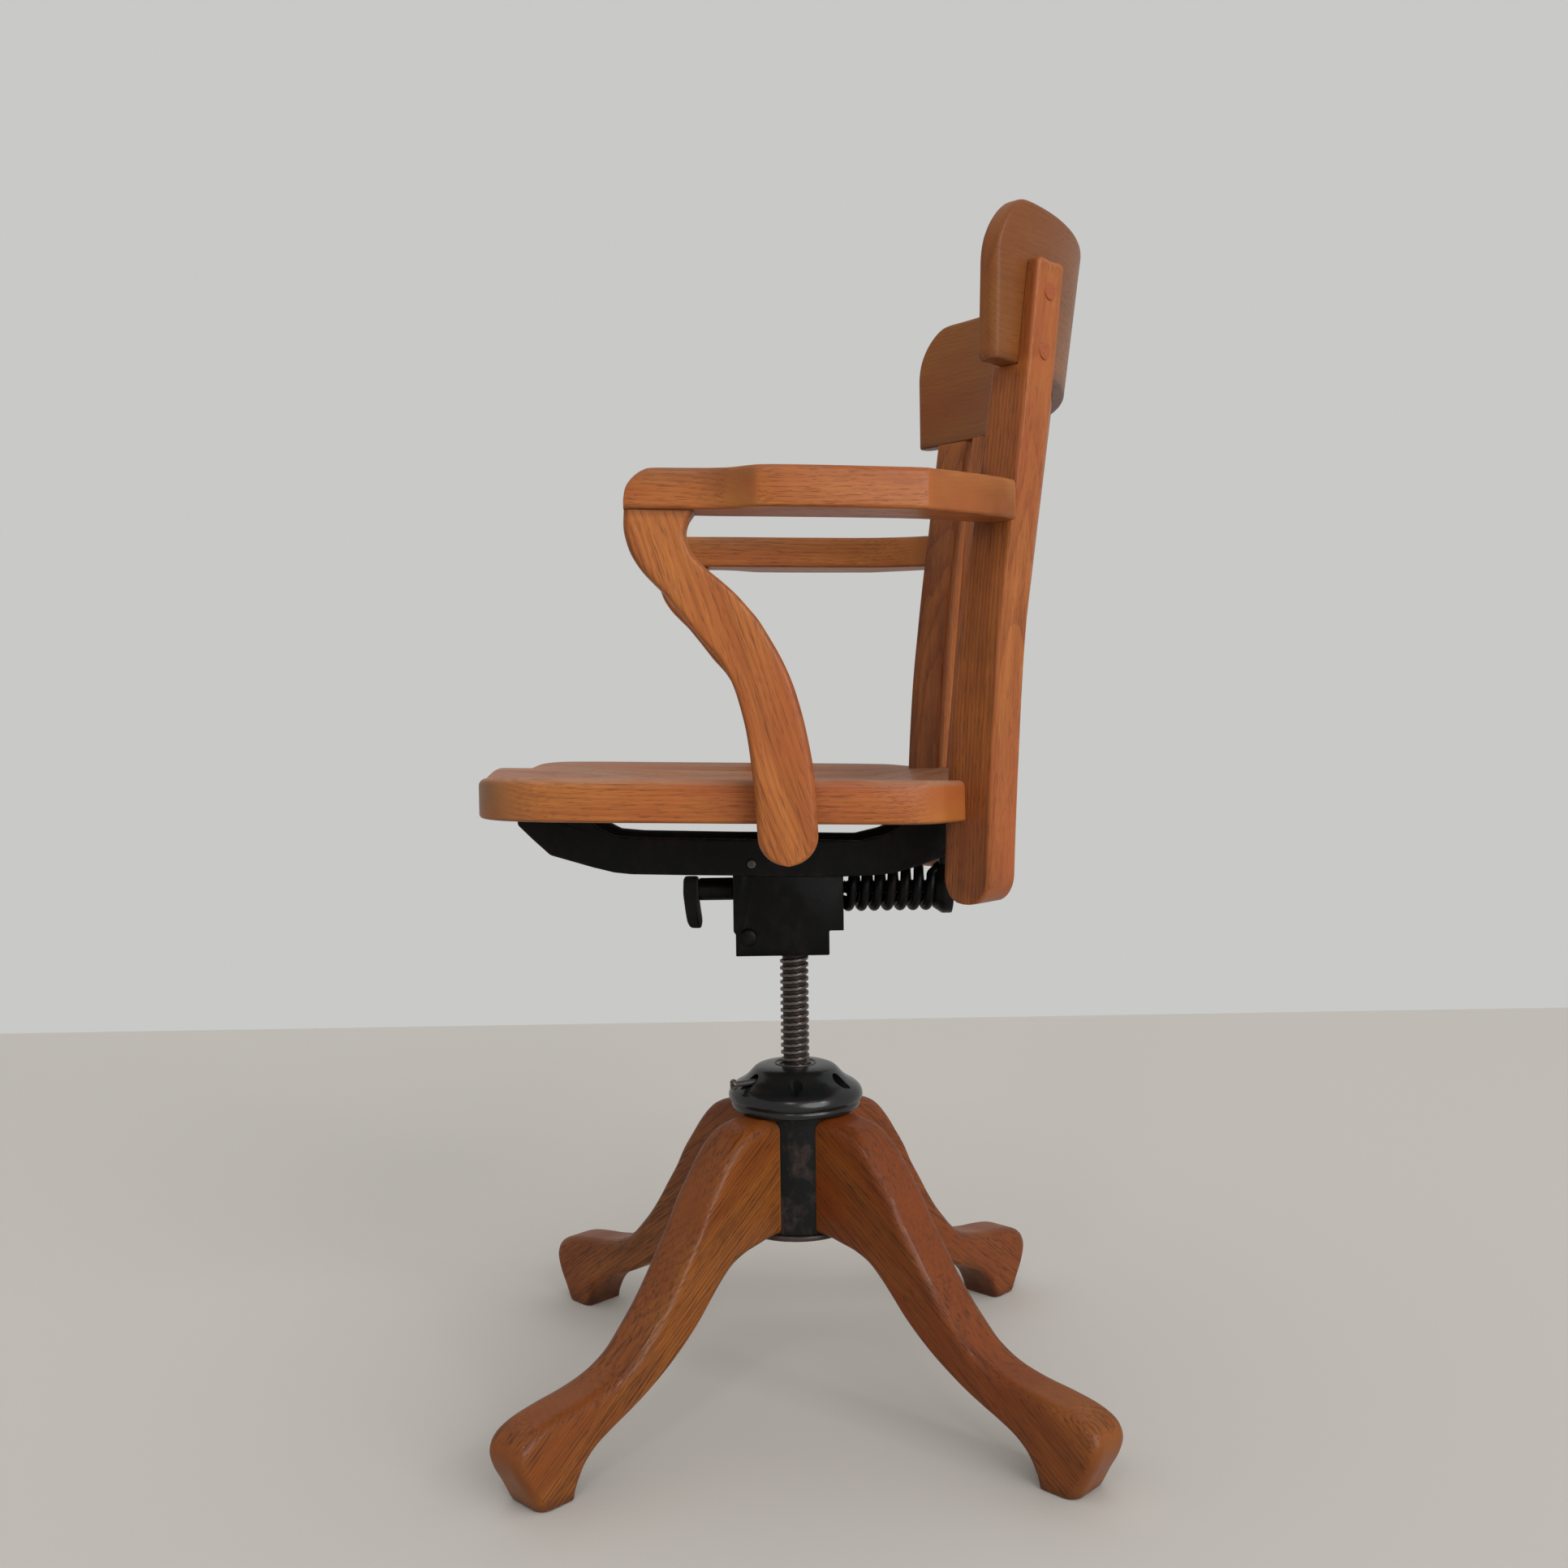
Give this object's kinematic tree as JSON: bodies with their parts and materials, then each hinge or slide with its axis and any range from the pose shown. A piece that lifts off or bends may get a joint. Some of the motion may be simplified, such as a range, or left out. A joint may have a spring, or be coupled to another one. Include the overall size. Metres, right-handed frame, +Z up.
{
  "type": "swivel armchair",
  "caption": "Oak office armchair with a slatted back, a saddle seat and splayed legs, on a screw for its height with a sprung tilt.",
  "frame": {"origin": "on the floor at the axis of the swivel and the height screw", "axes": "+Z up, -Y the way the sitter faces, +X the sitter's left"},
  "size_m": [0.54, 0.5313, 1.016],
  "materials": {
    "oak_base": "dark varnished oak, worn on the edges",
    "oak_frame": "varnished oak, open grain",
    "oak_seat": "varnished oak, rubbed pale where it is sat on",
    "cast_iron": "glossy dark green-black enamel",
    "black_iron": "black paint, rubbed",
    "worn_steel": "dark oiled steel"
  },
  "bodies": {
    "base": {"leg_rear_left": "oak_base", "leg_rear_right": "oak_base", "leg_front_right": "oak_base", "leg_front_left": "oak_base", "hub_column": "cast_iron", "hub_bottom_plate": "black_iron"},
    "collar": {"thrust_washer": "worn_steel", "height_collar": "cast_iron", "lock_screw": "worn_steel"},
    "spindle": {"height_screw": "worn_steel", "tilt_casting": "black_iron", "pivot_rod": "worn_steel", "casting_rivet": "black_iron"},
    "seat": {"seat_board": "oak_seat", "seat_iron_left": "black_iron", "seat_iron_right": "black_iron", "spring_cup": "black_iron", "tilt_spring": "black_iron", "arm_support_left": "oak_frame", "arm_support_right": "oak_frame", "arm_left": "oak_frame", "arm_right": "oak_frame", "back_post_left": "oak_frame", "back_post_right": "oak_frame", "crest_rail": "oak_frame", "back_slat_1": "oak_frame", "back_slat_2": "oak_frame", "back_slat_3": "oak_frame", "back_slat_4": "oak_frame", "back_slat_5": "oak_frame", "back_slat_6": "oak_frame", "back_slat_7": "oak_frame", "back_slat_8": "oak_frame", "back_slat_9": "oak_frame"},
    "tension": {"tension_screw": "black_iron", "tension_handle": "black_iron"}
  },
  "joints": [
    {"name": "seat_swivel", "type": "hinge", "parent": "base", "child": "collar", "pos_m": [0, 0, 0.257], "axis": [0, 0, 1], "continuous": true},
    {"name": "seat_height", "type": "slide", "parent": "collar", "child": "spindle", "axis": [0, 0, 1], "range_m": [-0.09, 0.05]},
    {"name": "seat_tilt", "type": "hinge", "parent": "spindle", "child": "seat", "pos_m": [0, -0.038, 0.486], "axis": [-1, 0, 0], "range_deg": [0, 10], "stiffness_Nm_per_rad": 250, "springref_deg": -17.19, "deforming": ["tilt_spring"]},
    {"name": "tension_turn", "type": "hinge", "parent": "seat", "child": "tension", "pos_m": [0, -0.09, 0.459], "axis": [0, 1, 0], "continuous": true}
  ]
}
